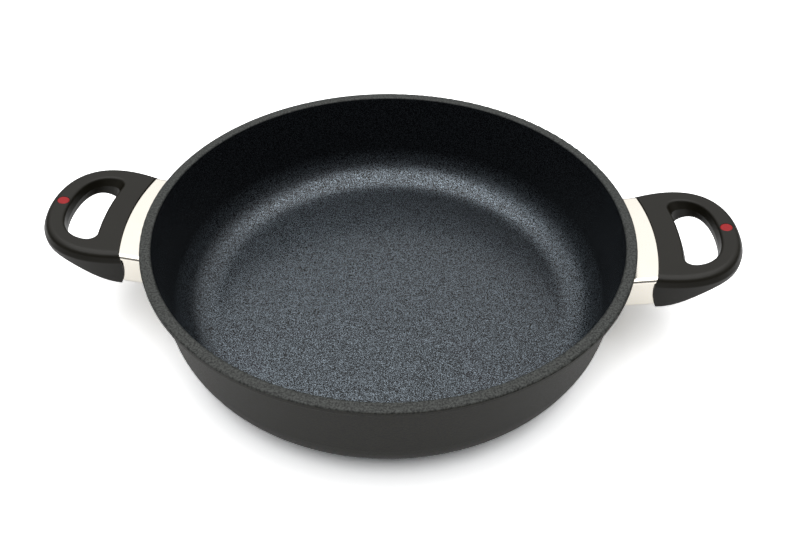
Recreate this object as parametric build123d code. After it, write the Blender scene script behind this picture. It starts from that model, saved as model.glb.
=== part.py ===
from build123d import *
import math
import os

# Braising pan, 28 cm: a cast shell with two screwed side handles.
# Millimetres, +Z up. The origin is the centre of the base's underside.
# The handles lie along X, and the right one is on +X.

# Cast shell
pan_height = 72.5
rim_radius = 145.5
lip_projection = 3.3
lip_height = 3.5
lip_rounding = 1.2
wall_spread = 8.0
wall_thickness = 3.6
outer_corner_radius = 34.0
inner_corner_radius = 23.5
floor_thickness = 8.0
rim_inner_rounding = 1.6

# Turned base
groove_count = 9
groove_pitch = 7.0
groove_width = 1.2
groove_depth = 0.4
groove_margin = 8.0

# A handle's joint with its flame guard: its place from the rim, its bulge towards the pan, and the tilt
mate_distance = 12.9
mate_drop = 5.1
mate_bulge = 2.3
handle_tilt = 9.65

# Grip, in the handle's own frame: X outward, Z up from its top face
grip_half_width = 38.2
grip_flare = 13.6
grip_flare_length = 39.2
grip_reach = 46.3
grip_tip_fullness = 24.8
grip_bevel_width = 2.1
grip_bevel_depth = 5.8
grip_side_taper = 6.8
grip_depth = 25.7
bar_depth = 11.1
underside_start = -12.0
underside_end = 32.6
underside_hold = 21.0
underside_ease = 17.0
grip_top_rounding = 4.4
grip_crease_rounding = 1.6
grip_bottom_rounding = 3.2

# Finger hole
hole_start = 15.0
hole_half_width = 25.8
hole_flare = 17.4
hole_flare_length = 13.4
hole_tip_fullness = 23.2
bar_width = 11.5
hole_corner_radius = 6.0
hole_bevel_depth = 5.3
hole_bevel_sides = 3.1
hole_bevel_ends = 1.6
hole_top_rounding = 2.0
hole_bottom_rounding = 2.2

# Flame guard
guard_inset = 1.0
guard_bottom_inset = 1.8
guard_wall = 1.2
guard_top_rounding = 2.6
guard_bottom_rounding = 3.0

# Cast lug inside the flame guard, and its socket in the grip
lug_tip_width = 34.0
lug_tip_height = 10.6
lug_axis_depth = 9.0
lug_taper = 3.0
lug_rounding = 2.5
socket_depth = 3.8

# Handle screw M5, its washers and its threaded insert
screw_diameter = 5.0
screw_length = 16.0
head_diameter = 9.2
head_height = 3.3
head_rounding = 1.4
drive_length = 4.8
drive_width = 1.1
drive_depth = 1.9
flat_washer_diameter = 10.0
flat_washer_thickness = 1.0
lock_washer_diameter = 9.2
lock_washer_thickness = 1.3
lock_washer_split = 1.0
washer_bore = 5.3
insert_diameter = 7.0
insert_length = 12.0
insert_setback = 0.3
insert_end_space = 2.0
insert_groove_count = 3
insert_groove_width = 1.2
insert_groove_depth = 0.3

# Emblem dot, in the middle of the outer bar
badge_diameter = 6.8
badge_thickness = 1.2
badge_rounding = 0.4

# Clearances
seat_gap = 0.15
wall_gap = 0.3
socket_clearance = 0.3
hole_clearance = 0.25
thread_clearance = 0.05
pocket_clearance = 0.1

# How far cutting tools run past what they cut, and how near counts as touching
overshoot = 20.0
touching = 0.01

# Worked out from the sizes above
wall_top_radius = rim_radius - lip_projection
wall_foot_radius = wall_top_radius - wall_spread
mate_radius = rim_radius + mate_distance
mate_height = pan_height - mate_drop
wall_lean = math.atan2(wall_top_radius - wall_foot_radius, pan_height - lip_height)
corner_tangent = math.tan((math.pi / 2 - wall_lean) / 2)
inner_foot_radius = wall_foot_radius - wall_thickness / math.cos(wall_lean)
base_flat_radius = wall_foot_radius - outer_corner_radius * corner_tangent
lug_tip = socket_depth - socket_clearance
recess_floor = hole_start - head_height - lock_washer_thickness - flat_washer_thickness
recess_diameter = max(flat_washer_diameter, head_diameter) + 2 * hole_clearance
hole_reach = grip_reach - bar_width
tilt = math.radians(handle_tilt)
handle_frame = Plane(
    origin=(mate_radius, 0, mate_height),
    x_dir=(math.cos(tilt), 0, math.sin(tilt)),
    z_dir=(-math.sin(tilt), 0, math.cos(tilt)),
).location


def outer_wall_radius(height):
    """Radius of the wall's outer face, extended straight down to the table."""
    return wall_foot_radius + height * math.tan(wall_lean)


def inner_wall_radius(height):
    """Radius of the wall's inner face, extended straight down to the table."""
    return inner_foot_radius + height * math.tan(wall_lean)


def revolved(points, filleted):
    """Turn a closed outline in the XZ plane about Z. filleted maps a point's index to a radius."""
    face = make_face(Polyline(*points, close=True).edges())
    for index, radius in filleted.items():
        x, z = points[index]
        corner = face.vertices().sort_by_distance((x, z, 0))[0]
        face = fillet(corner, radius)
    return revolve(Plane.XZ * face, Axis.Z, 360)


def shell_outline_outer():
    """Everything inside the pan's outer surface."""
    lip_foot = pan_height - lip_height
    points = [
        (0, 0),
        (wall_foot_radius, 0),
        (wall_top_radius, lip_foot),
        (rim_radius, lip_foot),
        (rim_radius, pan_height),
        (0, pan_height),
    ]
    rounded = {1: outer_corner_radius, 3: lip_rounding / 2, 4: lip_rounding}
    return revolved(points, rounded)


def cavity():
    """The space inside the pan, with the rounded rim edge left to a fillet."""
    points = [
        (0, floor_thickness),
        (inner_wall_radius(floor_thickness), floor_thickness),
        (inner_wall_radius(pan_height), pan_height),
        (inner_wall_radius(pan_height), pan_height + overshoot),
        (0, pan_height + overshoot),
    ]
    return revolved(points, {1: inner_corner_radius})


def base_grooves():
    """Shallow turned rings under the base."""
    rings = []
    for number in range(groove_count):
        outer = base_flat_radius - groove_margin - number * groove_pitch
        ring = Cylinder(outer, 2 * groove_depth) - Cylinder(outer - groove_width, 2 * groove_depth)
        rings.append(ring)
    return rings


def along_handle(diameter, start, end):
    """A cylinder on the handle screw's axis, from start to end along the handle."""
    middle = (start + end) / 2
    place = Location((middle, 0, -lug_axis_depth), (0, 90, 0))
    return place * Cylinder(diameter / 2, abs(end - start))


def ring_on_axis(diameter, bore, start, end):
    """A flat ring on the handle screw's axis."""
    return along_handle(diameter, start, end) - along_handle(bore, start - overshoot, end + overshoot)


def pan_side(radius):
    """All that lies on the pan's side of a handle's joint, which is waisted halfway down the grip."""
    middle = (radius - mate_bulge, -grip_depth / 2)
    waist = ThreePointArc((radius, 0), middle, (radius, -grip_depth))
    top = overshoot
    bottom = -grip_depth - overshoot
    rest = Polyline(
        (radius, -grip_depth),
        (radius, bottom),
        (0, bottom),
        (0, top),
        (radius, top),
        (radius, 0),
    )
    face = make_face([waist.edge()] + list(rest.edges()))
    return Location((-mate_radius, 0, 0)) * revolve(Plane.XZ * face, Axis.Z, 360)


def both_sides(shape):
    """A right handle's piece from its own frame, placed, and its mirror image on the left."""
    right = handle_frame * shape
    return {"right": right, "left": mirror(right, Plane.YZ)}


def lug():
    """The cast lug that the handle screws to, run on into the wall."""
    root_radius = inner_wall_radius(mate_height) + wall_thickness / 2
    length = lug_tip + mate_radius - root_radius
    tip = RectangleRounded(lug_tip_height, lug_tip_width, lug_rounding)
    place = Location((lug_tip, 0, -lug_axis_depth), (0, -90, 0))
    return extrude(place * tip, amount=length, taper=-lug_taper)


def insert_bore():
    """The hole in the lug's tip for the threaded insert."""
    bottom = lug_tip - insert_setback - insert_length - insert_end_space
    return along_handle(insert_diameter + 2 * thread_clearance, lug_tip + overshoot, bottom)


def pan_body():
    """The cast shell with its two lugs, in one piece."""
    shell = shell_outline_outer()
    for placed in both_sides(lug()).values():
        shell += placed
    shell -= cavity()
    inner_edge = shell.edges().filter_by(GeomType.CIRCLE).filter_by(on_rim).sort_by(edge_radius)[0]
    shell = fillet(inner_edge, rim_inner_rounding)
    for ring in base_grooves():
        shell -= ring
    for placed in both_sides(insert_bore()).values():
        shell -= placed
    return shell


def on_rim(edge):
    return abs(edge.center().Z - pan_height) < touching


def edge_radius(edge):
    return edge.radius


def half_curve(start, flare, flare_length, reach, fullness):
    """One side of a D, from its straight end to the tip on the X axis."""
    angle = math.radians(flare)
    first = (start[0] + flare_length * math.cos(angle), start[1] + flare_length * math.sin(angle))
    return Bezier(start, first, (reach, fullness), (reach, 0))


def arc_sag(radius, half_width):
    return radius - math.sqrt(radius**2 - half_width**2)


def grip_plan(depth, growth):
    """The top face's outline, grown, at a depth below it and run on past the joint."""
    corner = (-arc_sag(mate_radius, grip_half_width), grip_half_width + growth)
    run_on = overshoot / 2
    back = (corner[0] - run_on, corner[1] - run_on * math.tan(math.radians(grip_flare)))
    reach = grip_reach + growth
    curve = half_curve(corner, grip_flare, grip_flare_length, reach, grip_tip_fullness + growth)
    side = Line(back, corner)
    end = Line(back, (back[0], -back[1]))
    pieces = [side, curve, mirror(curve, Plane.XZ), mirror(side, Plane.XZ), end]
    return Location((0, 0, -depth)) * make_face([piece.edge() for piece in pieces])


def grip_flanks():
    """The grip's body before its underside is cut: a bevel down to a crease, and a drafted flank."""
    deep = grip_depth + overshoot / 2
    draft = (deep - grip_bevel_depth) * math.tan(math.radians(grip_side_taper))
    foot = grip_plan(deep, grip_bevel_width - draft)
    crease = grip_plan(grip_bevel_depth, grip_bevel_width)
    return loft([foot, crease, grip_plan(0, 0)], ruled=True)


def hole_plan(sides=0, ends=0):
    """The finger hole's outline, grown at its sides and ends, along the pan inside and the bar outside."""
    start = hole_start - ends
    half_width = hole_half_width + sides
    corner = (start - arc_sag(mate_radius + start, half_width), half_width)
    reach = hole_reach + ends
    curve = half_curve(corner, hole_flare, hole_flare_length, reach, hole_tip_fullness + sides)
    inner_side = ThreePointArc(corner, (start, 0), (corner[0], -corner[1]))
    face = make_face([curve.edge(), mirror(curve, Plane.XZ).edge(), inner_side.edge()])
    corners = face.vertices().sort_by(Axis.X)[:2]
    return fillet(corners, hole_corner_radius)


def finger_hole():
    """What the hole cuts away: straight below, widening in a bevel to the top face."""
    run_on = (hole_bevel_depth + overshoot) / hole_bevel_depth
    foot = Location((0, 0, -hole_bevel_depth)) * hole_plan()
    top = hole_plan(run_on * hole_bevel_sides, run_on * hole_bevel_ends)
    bevel = loft([foot, Location((0, 0, overshoot)) * top], ruled=True)
    return bevel + extrude(foot, amount=-2 * grip_depth)


def underside_curve():
    """The grip's underside in the XZ plane, rising from the flame guard to the outer bar."""
    return Bezier(
        (underside_start, 0, -grip_depth),
        (underside_start + underside_hold, 0, -grip_depth),
        (underside_end - underside_ease, 0, -bar_depth),
        (underside_end, 0, -bar_depth),
    )


def side_profile():
    """The grip from the side: flat on top, with its underside rising outward."""
    back = underside_start - overshoot
    front = grip_reach + overshoot
    bar = Line((underside_end, 0, -bar_depth), (front, 0, -bar_depth))
    rest = Polyline(
        (front, 0, -bar_depth),
        (front, 0, 0),
        (back, 0, 0),
        (back, 0, -grip_depth),
        (underside_start, 0, -grip_depth),
    )
    face = make_face([underside_curve().edge(), bar.edge()] + list(rest.edges()))
    return extrude(face, amount=3 * overshoot, both=True)


def stays(edge):
    """Whether an edge reaches past the grip's corner at the joint, so that it isn't all cut off."""
    return edge.bounding_box().max.X > -arc_sag(mate_radius, grip_half_width) - touching


def on_top(edge):
    """Whether an edge bounds the grip's top face."""
    return edge.bounding_box().min.Z > -touching and stays(edge)


def is_underside(face):
    return face.normal_at(face.center()).Z < -0.5


def underside_edges(body):
    """The edges round the underside, outside and in the finger hole."""
    edges = [edge for face in body.faces().filter_by(is_underside) for edge in face.edges()]
    border = [edge for edge in edges if edges.count(edge) == 1]
    return ShapeList(border).filter_by(stays)


def in_hole(edge):
    """Whether an edge bounds the finger hole."""
    middle = edge.center()
    outline = hole_plan(hole_bevel_sides, hole_bevel_ends)
    return outline.distance_to(Vertex(middle.X, middle.Y, 0)) < touching


def on_crease(edge):
    """Whether an edge runs along the crease below the bevel."""
    box = edge.bounding_box()
    lowest = abs(box.min.Z + grip_bevel_depth) < touching
    highest = abs(box.max.Z + grip_bevel_depth) < touching
    return lowest and highest and stays(edge)


def grip_blank():
    """The grip's rounded body, before its socket and its screw hole are cut."""
    body = grip_flanks() & side_profile()
    body = fillet(body.edges().filter_by(on_top), grip_top_rounding)
    body = fillet(body.edges().filter_by(on_crease), grip_crease_rounding)
    body -= finger_hole()
    body = fillet(body.edges().filter_by(on_top).filter_by(in_hole), hole_top_rounding)
    outer = [edge for edge in underside_edges(body) if not in_hole(edge)]
    body = fillet(outer, grip_bottom_rounding)
    inner = [edge for edge in underside_edges(body) if in_hole(edge)]
    return fillet(inner, hole_bottom_rounding)


def lug_socket():
    """The pocket in the grip's end that the lug's tip sits in."""
    growth = socket_depth * math.tan(math.radians(lug_taper)) + socket_clearance
    outline = RectangleRounded(lug_tip_height + 2 * growth, lug_tip_width + 2 * growth, lug_rounding)
    place = Location((socket_depth, 0, -lug_axis_depth), (0, -90, 0))
    return extrude(place * outline, amount=socket_depth + overshoot / 2)


def badge_seat(diameter, depth):
    """A disc on the outer bar, down from the top face."""
    middle = grip_reach - bar_width / 2
    return Location((middle, 0, -depth / 2)) * Cylinder(diameter / 2, depth)


def handle_grip():
    """The moulded grip, ready to be screwed on."""
    grip = grip_blank() - pan_side(mate_radius)
    grip -= lug_socket()
    grip -= along_handle(screw_diameter + 2 * hole_clearance, socket_depth / 2, hole_start)
    grip -= along_handle(recess_diameter, recess_floor, hole_start + bar_width / 2)
    grip -= badge_seat(badge_diameter + 2 * pocket_clearance, badge_thickness + pocket_clearance)
    return grip


def guard_section(inset):
    """The flame guard's section across the handle, inset from the grip's widest one."""
    thinner = inset - guard_inset
    half = grip_half_width + grip_bevel_width - inset
    depth = grip_depth - guard_bottom_inset - thinner
    foot = half - (depth - inset) * math.tan(math.radians(grip_side_taper))
    points = [(0, half, -inset), (0, foot, -depth), (0, -foot, -depth), (0, -half, -inset)]
    face = make_face(Polyline(*points, close=True).edges())
    for corner in face.vertices():
        at_top = abs(corner.Z + inset) < touching
        radius = guard_top_rounding if at_top else guard_bottom_rounding
        face = fillet(face.vertices().sort_by_distance(corner)[0], radius - thinner)
    return face


def guard_block(inset):
    """The flame guard's outer or inner form, run on past the wall and past the grip's end."""
    return extrude(guard_section(inset), amount=2 * overshoot, both=True)


def flame_guard():
    """The polished collar round the lug, between the wall and the grip."""
    collar = guard_block(guard_inset) - guard_block(guard_inset + guard_wall)
    return collar & pan_side(mate_radius - seat_gap)


def wall_clearance():
    """The wall's outer face, grown by the gap that the flame guard keeps from it."""
    foot = outer_wall_radius(0) + wall_gap
    top = outer_wall_radius(pan_height) + wall_gap
    return Location((0, 0, pan_height / 2)) * Cone(foot, top, pan_height)


def thread_insert():
    """The steel insert in the lug's tip."""
    start = lug_tip - insert_setback - insert_length
    insert = ring_on_axis(
        insert_diameter, screw_diameter + 2 * thread_clearance, start, start + insert_length
    )
    bottom = insert_diameter - 2 * insert_groove_depth
    step = insert_length / (insert_groove_count + 1)
    for number in range(insert_groove_count):
        middle = start + (number + 1) * step
        edge = middle - insert_groove_width / 2
        insert -= ring_on_axis(insert_diameter + overshoot, bottom, edge, edge + insert_groove_width)
    return insert


def handle_screw():
    """The pan-head screw with its cross recess, in the finger hole's wall."""
    seat = recess_floor + flat_washer_thickness + lock_washer_thickness
    head = along_handle(head_diameter, seat, seat + head_height)
    rim = head.edges().sort_by(Axis.X)[-1]
    head = fillet(rim, head_rounding)
    shank = along_handle(screw_diameter, seat - screw_length, seat)
    shank = chamfer(shank.edges().sort_by(Axis.X)[0], screw_diameter / 10)
    screw = head + shank
    top = seat + head_height
    for angle in (0, 90):
        slot = Box(2 * drive_depth, drive_length, drive_width)
        screw -= Location((top, 0, -lug_axis_depth), (angle, 0, 0)) * slot
    return screw


def flat_washer():
    """The plain washer at the bottom of the screw's recess."""
    end = recess_floor + flat_washer_thickness
    return ring_on_axis(flat_washer_diameter, washer_bore, recess_floor, end)


def lock_washer():
    """A split ring, flattened by the screw."""
    start = recess_floor + flat_washer_thickness
    ring = ring_on_axis(lock_washer_diameter, washer_bore, start, start + lock_washer_thickness)
    split = Box(overshoot, lock_washer_split, lock_washer_diameter)
    return ring - Location((start, 0, -lug_axis_depth + lock_washer_diameter / 2)) * split


def badge():
    """The plain enamel dot on the outer bar."""
    dot = badge_seat(badge_diameter, badge_thickness)
    return fillet(dot.edges().sort_by(Axis.Z)[-1], badge_rounding)


def flame_guards():
    """Both flame guards, cut to follow the wall."""
    clearance = wall_clearance()
    return {side: guard - clearance for side, guard in both_sides(flame_guard()).items()}


os.makedirs("parts", exist_ok=True)
export_step(pan_body(), "parts/pan_body.step")
pairs = {
    "flame_guard": flame_guards(),
    "handle_grip": both_sides(handle_grip()),
    "badge": both_sides(badge()),
    "handle_screw": both_sides(handle_screw()),
    "flat_washer": both_sides(flat_washer()),
    "lock_washer": both_sides(lock_washer()),
    "thread_insert": both_sides(thread_insert()),
}
for name, pair in pairs.items():
    for side, shape in pair.items():
        export_step(shape, f"parts/{name}_{side}.step")
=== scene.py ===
import math

import bpy
from mathutils import Euler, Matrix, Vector

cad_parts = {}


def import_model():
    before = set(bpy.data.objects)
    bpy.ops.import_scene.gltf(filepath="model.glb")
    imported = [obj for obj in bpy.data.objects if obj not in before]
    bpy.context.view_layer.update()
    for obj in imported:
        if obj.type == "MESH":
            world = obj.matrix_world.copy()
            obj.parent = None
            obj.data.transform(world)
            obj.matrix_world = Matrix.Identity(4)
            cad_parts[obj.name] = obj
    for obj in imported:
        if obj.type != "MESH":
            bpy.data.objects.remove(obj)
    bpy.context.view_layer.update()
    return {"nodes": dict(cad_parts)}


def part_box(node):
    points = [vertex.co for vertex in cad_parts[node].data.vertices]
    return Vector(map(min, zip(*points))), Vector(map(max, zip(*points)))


# The looks of the braising pan, in metres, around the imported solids.

# Camera, at the photograph's viewpoint
camera_place = Vector((0.02623, -0.35941, 0.35737))
camera_turn = math.radians(3.106)
camera_dip = math.radians(42.505)
camera_roll = math.radians(0.42)
sensor_width = 36.0
lens_length = 34.43
near_clip = 0.01

# Floor: its colour for matte light, in reflections, and to the camera, where it comes out white
floor_size = 12.0
floor_plain = 0.8
floor_reflected = 1.2
floor_seen = 2.35

# Softbox over the pan
softbox_place = (0.0, -0.1, 1.1)
softbox_size = (1.5, 1.5)
softbox_power = 11.0

# World: its brightness low down, overhead and where the camera sees it, the heights between which
# it turns, how much higher a place behind counts, and the share of it that lights matte surfaces
world_low = 0.12
world_high = 1.15
world_seen = 1.0
world_turns = (0.3, 0.88)
world_lean = 0.2
world_matte_share = 0.45

# The pan's wall and floor, which part its inside from its outside
wall_foot_radius = 0.1342
wall_top_radius = 0.1422
wall_height = 0.069
wall_thickness = 0.0036
floor_thickness = 0.008

# The turned base: up to this height and radius
turned_height = 0.0006
turned_radius = 0.1036

# The rim's coating begins and is full this far below the pan's top
rim_start_depth = 0.0012
rim_full_depth = 0.0003

# Coating inside: a near-black ground with reflecting mineral flecks, thinned out up the wall as
# painted shade, so the wall comes out darker than the floor
fleck_size = 0.00032
fleck_tones = (0.48, 0.96)
fleck_colour = (0.232, 0.274, 0.312, 1)
ground_colour = (0.0016, 0.0018, 0.0026, 1)
inside_roughness = (0.25, 0.27)
wall_shade_heights = (0.014, 0.034)
wall_shade_fleck_share = 0.1

# Coating on the rim and outside: matte, with a fine mottle
mottle_size = 0.0011
mottle_tones = (0.36, 0.64)
mottle_detail = 3.0
mottle_grit = 0.7
rim_colours = ((0.012, 0.013, 0.012, 1), (0.078, 0.083, 0.078, 1))
rim_roughness = 0.5
outer_colours = ((0.003, 0.003, 0.002, 1), (0.025, 0.024, 0.0175, 1))
outer_roughness = (0.46, 0.58)
coating_relief = 0.00003
coating_specular = 0.28

# Bare turned metal of the base
turned_colours = ((0.5, 0.5, 0.49, 1), (0.62, 0.62, 0.61, 1))
turned_roughness = 0.34
turning_pitch = 0.0005

# Grips
grip_colours = ((0.0085, 0.0075, 0.0046, 1), (0.0115, 0.0103, 0.0066, 1))
grip_cloud_size = 0.02
grip_grain_size = 0.0006
grip_roughness = (0.31, 0.41)
grip_specular = 0.26
grip_relief = 0.00002

# Flame guards
steel_colours = ((0.93, 0.88, 0.785, 1), (0.97, 0.925, 0.835, 1))
steel_cloud_size = 0.012
steel_mark_size = 0.0004
steel_mark_detail = 3.0
steel_roughness = (0.14, 0.24)
steel_relief = 0.000004

# Emblem dots
enamel_colours = ((0.36, 0.006, 0.009, 1), (0.42, 0.012, 0.016, 1))
enamel_peel_size = 0.0008
enamel_roughness = (0.28, 0.36)
enamel_specular = 0.3
enamel_relief = 0.000005

# Screws, washers and threaded inserts
fastener_colours = ((0.45, 0.45, 0.44, 1), (0.62, 0.62, 0.6, 1))
fastener_scuff_size = 0.0009
fastener_scuff_detail = 4.0
fastener_scuff_grit = 0.7
fastener_roughness = (0.28, 0.42)
fastener_relief = 0.00001


class Nodes:
    """A node tree, with short calls for the nodes used here."""

    def __init__(self, tree):
        self.tree = tree

    def add(self, kind, **settings):
        """A new node, with its settings."""
        node = self.tree.nodes.new(kind)
        for key, value in settings.items():
            setattr(node, key, value)
        return node

    def feed(self, target, value):
        """Set a socket to a plain value, or link it if the value is another socket."""
        if isinstance(value, bpy.types.NodeSocket):
            self.tree.links.new(value, target)
        else:
            target.default_value = value

    def compute(self, operation, first, second=0.0):
        """The result of an operation on one or two numbers."""
        node = self.add("ShaderNodeMath", operation=operation)
        self.feed(node.inputs[0], first)
        self.feed(node.inputs[1], second)
        return node.outputs[0]

    def smooth(self, value, low, high, start=0.0, end=1.0):
        """A soft step from start to end as value goes from low to high."""
        node = self.add("ShaderNodeMapRange", interpolation_type="SMOOTHSTEP")
        self.feed(node.inputs["Value"], value)
        self.feed(node.inputs["From Min"], low)
        self.feed(node.inputs["From Max"], high)
        self.feed(node.inputs["To Min"], start)
        self.feed(node.inputs["To Max"], end)
        return node.outputs["Result"]

    def blend(self, factor, first, second):
        """A number between two others."""
        node = self.add("ShaderNodeMix", data_type="FLOAT")
        self.feed(node.inputs["Factor"], factor)
        self.feed(node.inputs["A"], first)
        self.feed(node.inputs["B"], second)
        return node.outputs["Result"]

    def axes(self, place):
        """The X, Y and Z of a place."""
        parts = self.add("ShaderNodeSeparateXYZ")
        self.feed(parts.inputs[0], place)
        return parts.outputs["X"], parts.outputs["Y"], parts.outputs["Z"]

    def by_ray(self, matte, mirrored, seen):
        """A number for each kind of ray: matte light, reflections and glass, and the camera's own."""
        path = self.add("ShaderNodeLightPath")
        value = self.blend(path.outputs["Is Glossy Ray"], matte, mirrored)
        value = self.blend(path.outputs["Is Transmission Ray"], value, mirrored)
        return self.blend(path.outputs["Is Camera Ray"], value, seen)


class Shading(Nodes):
    """A new material of one Principled surface."""

    def __init__(self, name):
        self.material = bpy.data.materials.new(name)
        self.material.use_nodes = True
        super().__init__(self.material.node_tree)
        self.tree.nodes.clear()
        output = self.add("ShaderNodeOutputMaterial")
        self.surface = self.add("ShaderNodeBsdfPrincipled")
        self.feed(output.inputs["Surface"], self.surface.outputs["BSDF"])
        self.place = self.add("ShaderNodeTexCoord").outputs["Object"]

    def set(self, **values):
        """Set the surface shader's sockets by name, with _ for a space."""
        for key, value in values.items():
            self.feed(self.surface.inputs[key.replace("_", " ")], value)

    def noise(self, size, detail=2.0, grit=0.5):
        """Soft noise with features about size metres across."""
        node = self.add("ShaderNodeTexNoise")
        self.feed(node.inputs["Vector"], self.place)
        self.feed(node.inputs["Scale"], 1 / size)
        self.feed(node.inputs["Detail"], detail)
        self.feed(node.inputs["Roughness"], grit)
        return node.outputs["Fac"]

    def grains(self, size):
        """One random tone for each grain, with grains about size metres across."""
        cells = self.add("ShaderNodeTexVoronoi")
        self.feed(cells.inputs["Vector"], self.place)
        self.feed(cells.inputs["Scale"], 1 / size)
        tones = self.add("ShaderNodeSeparateColor")
        self.feed(tones.inputs[0], cells.outputs["Color"])
        return tones.outputs["Red"]

    def height_and_radius(self):
        """The height above the table and the distance from the pan's axis."""
        x, y, z = self.axes(self.place)
        square = self.compute("ADD", self.compute("POWER", x, 2.0), self.compute("POWER", y, 2.0))
        return z, self.compute("SQRT", square)

    def mix(self, factor, first, second):
        """A colour between two others."""
        node = self.add("ShaderNodeMix", data_type="RGBA")
        colour_a, colour_b = (socket for socket in node.inputs if socket.type == "RGBA")
        self.feed(node.inputs["Factor"], factor)
        self.feed(colour_a, first)
        self.feed(colour_b, second)
        return next(socket for socket in node.outputs if socket.type == "RGBA")

    def bump(self, height, distance):
        """Raise the surface by distance metres where height is 1."""
        node = self.add("ShaderNodeBump")
        self.feed(node.inputs["Height"], height)
        self.feed(node.inputs["Distance"], distance)
        self.feed(node.inputs["Strength"], 1.0)
        self.feed(self.surface.inputs["Normal"], node.outputs["Normal"])


def inside_mask(shade, height, radius):
    """1 on the inside, and on the outside's rounded foot above half the floor, and 0 elsewhere."""
    lean = (wall_top_radius - wall_foot_radius) / wall_height
    middle_at_table = wall_foot_radius - wall_thickness / 2
    wall_middle = shade.compute("ADD", shade.compute("MULTIPLY", height, lean), middle_at_table)
    within = shade.compute("LESS_THAN", radius, wall_middle)
    above = shade.compute("GREATER_THAN", height, floor_thickness / 2)
    return shade.compute("MULTIPLY", within, above)


def rim_mask(shade, height):
    """1 on top of the rim, 0 below it."""
    pan_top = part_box("pan_body")[1].z
    return shade.smooth(height, pan_top - rim_start_depth, pan_top - rim_full_depth)


def base_mask(shade, height, radius):
    """1 on the turned base."""
    low = shade.compute("LESS_THAN", height, turned_height)
    near = shade.compute("LESS_THAN", radius, turned_radius)
    return shade.compute("MULTIPLY", low, near)


def pan_coating():
    """Flecked non-stick inside, matte mottled coating on the rim and outside, bare turned base."""
    shade = Shading("pan_coating")
    height, radius = shade.height_and_radius()
    inside = inside_mask(shade, height, radius)
    rim = rim_mask(shade, height)
    base = base_mask(shade, height, radius)

    # Painted shade: the flecks thin out up the wall, so the wall comes out darker than the floor
    fleck_share_painted_shade = shade.smooth(height, *wall_shade_heights, 1.0, wall_shade_fleck_share)
    flecks_and_wall_shade = shade.compute("MULTIPLY", shade.smooth(shade.grains(fleck_size), *fleck_tones), fleck_share_painted_shade)
    mottle = shade.smooth(shade.noise(mottle_size, mottle_detail, mottle_grit), *mottle_tones)
    inner_colour = shade.mix(flecks_and_wall_shade, ground_colour, fleck_colour)
    colour = shade.mix(inside, shade.mix(mottle, *outer_colours), inner_colour)
    colour = shade.mix(rim, colour, shade.mix(mottle, *rim_colours))
    shade.set(Base_Color=shade.mix(base, colour, shade.mix(mottle, *turned_colours)))

    metal = shade.blend(rim, shade.compute("MULTIPLY", flecks_and_wall_shade, inside), 0.0)
    shade.set(Metallic=shade.compute("MAXIMUM", metal, base))

    inner_rough = shade.blend(flecks_and_wall_shade, *inside_roughness)
    rough = shade.blend(inside, shade.blend(mottle, *outer_roughness), inner_rough)
    rough = shade.blend(rim, rough, rim_roughness)
    shade.set(Roughness=shade.blend(base, rough, turned_roughness))
    shade.set(Specular_IOR_Level=coating_specular)

    turning = shade.compute("SINE", shade.compute("MULTIPLY", radius, 2 * math.pi / turning_pitch))
    lumps = shade.blend(inside, mottle, flecks_and_wall_shade)
    shade.bump(shade.blend(base, lumps, turning), coating_relief)
    return shade.material


def grip_plastic():
    """Matte phenolic moulding with a fine spark-eroded texture."""
    shade = Shading("grip_plastic")
    grain = shade.noise(grip_grain_size)
    shade.set(Base_Color=shade.mix(shade.noise(grip_cloud_size), *grip_colours))
    shade.set(Roughness=shade.blend(grain, *grip_roughness))
    shade.set(Specular_IOR_Level=grip_specular)
    shade.bump(grain, grip_relief)
    return shade.material


def polished_steel():
    """Bright, slightly warm polished sheet with faint polishing marks."""
    shade = Shading("polished_steel")
    marks = shade.noise(steel_mark_size, steel_mark_detail)
    shade.set(Metallic=1.0)
    shade.set(Base_Color=shade.mix(shade.noise(steel_cloud_size), *steel_colours))
    shade.set(Roughness=shade.blend(marks, *steel_roughness))
    shade.bump(marks, steel_relief)
    return shade.material


def red_enamel():
    """Enamel with a slight orange peel."""
    shade = Shading("red_enamel")
    peel = shade.noise(enamel_peel_size)
    shade.set(Base_Color=shade.mix(peel, *enamel_colours))
    shade.set(Roughness=shade.blend(peel, *enamel_roughness))
    shade.set(Specular_IOR_Level=enamel_specular)
    shade.bump(peel, enamel_relief)
    return shade.material


def fastener_steel():
    """Plain stainless, turned and lightly scuffed."""
    shade = Shading("fastener_steel")
    scuff = shade.noise(fastener_scuff_size, fastener_scuff_detail, fastener_scuff_grit)
    shade.set(Metallic=1.0)
    shade.set(Base_Color=shade.mix(scuff, *fastener_colours))
    shade.set(Roughness=shade.blend(scuff, *fastener_roughness))
    shade.bump(scuff, fastener_relief)
    return shade.material


def dress_nodes(nodes):
    """Give every carried-over node its material, by the record's slot."""
    materials = {
        "coated_aluminium": pan_coating(),
        "polished_steel": polished_steel(),
        "grip_plastic": grip_plastic(),
        "red_enamel": red_enamel(),
        "fastener_steel": fastener_steel(),
    }
    for node in nodes.values():
        for slot in node.material_slots:
            slot.material = materials[slot.material.name.split(".")[0]]


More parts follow.
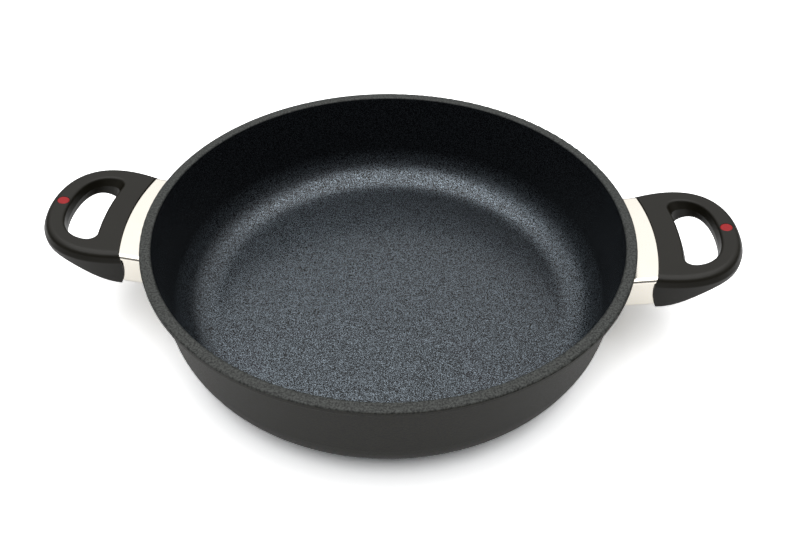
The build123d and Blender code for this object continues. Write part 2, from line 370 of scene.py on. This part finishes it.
def floor():
    """A plain white floor that keeps the pan's soft shadow."""
    bpy.ops.mesh.primitive_plane_add(size=floor_size)
    plane = bpy.context.object
    plane.name = "studio_floor"
    material = bpy.data.materials.new("studio_floor")
    material.use_nodes = True
    nodes = Nodes(material.node_tree)
    nodes.tree.nodes.clear()
    output = nodes.add("ShaderNodeOutputMaterial")
    surface = nodes.add("ShaderNodeBsdfDiffuse")
    nodes.feed(output.inputs["Surface"], surface.outputs["BSDF"])
    nodes.feed(surface.inputs["Color"], nodes.by_ray(floor_plain, floor_reflected, floor_seen))
    plane.data.materials.append(material)


def world():
    """White where it is seen, bright overhead and dim low down, up to a greater height in front."""
    studio = bpy.data.worlds.new("studio")
    bpy.context.scene.world = studio
    studio.use_nodes = True
    nodes = Nodes(studio.node_tree)
    background = nodes.tree.nodes["Background"]
    nodes.feed(background.inputs["Color"], (1, 1, 1, 1))
    _, y, z = nodes.axes(nodes.add("ShaderNodeTexCoord").outputs["Generated"])
    height = nodes.compute("ADD", z, nodes.compute("MULTIPLY", y, world_lean))
    level = nodes.smooth(height, *world_turns, world_low, world_high)
    matte = nodes.compute("MULTIPLY", level, world_matte_share)
    nodes.feed(background.inputs["Strength"], nodes.by_ray(matte, level, world_seen))


def softbox():
    """A large square lamp over the pan, aimed at the frame's origin."""
    lamp = bpy.data.lights.new("softbox", "AREA")
    lamp.shape = "RECTANGLE"
    lamp.size, lamp.size_y = softbox_size
    lamp.energy = softbox_power
    holder = bpy.data.objects.new("softbox", lamp)
    holder.location = softbox_place
    aim = -Vector(softbox_place)
    holder.rotation_euler = aim.to_track_quat("-Z", "Y").to_euler()
    bpy.context.collection.objects.link(holder)


def camera():
    """The photograph's viewpoint."""
    data = bpy.data.cameras.new("camera")
    data.sensor_width = sensor_width
    data.lens = lens_length
    data.clip_start = near_clip
    holder = bpy.data.objects.new("camera", data)
    holder.location = camera_place
    roll = Euler((0, 0, camera_roll)).to_matrix()
    dip = Euler((math.pi / 2 - camera_dip, 0, 0)).to_matrix()
    turn = Euler((0, 0, camera_turn)).to_matrix()
    holder.rotation_euler = (turn @ dip @ roll).to_euler()
    bpy.context.collection.objects.link(holder)
    bpy.context.scene.camera = holder


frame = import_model()
dress_nodes(frame["nodes"])
floor()
world()
softbox()
camera()
bpy.context.scene.view_settings.view_transform = "Standard"
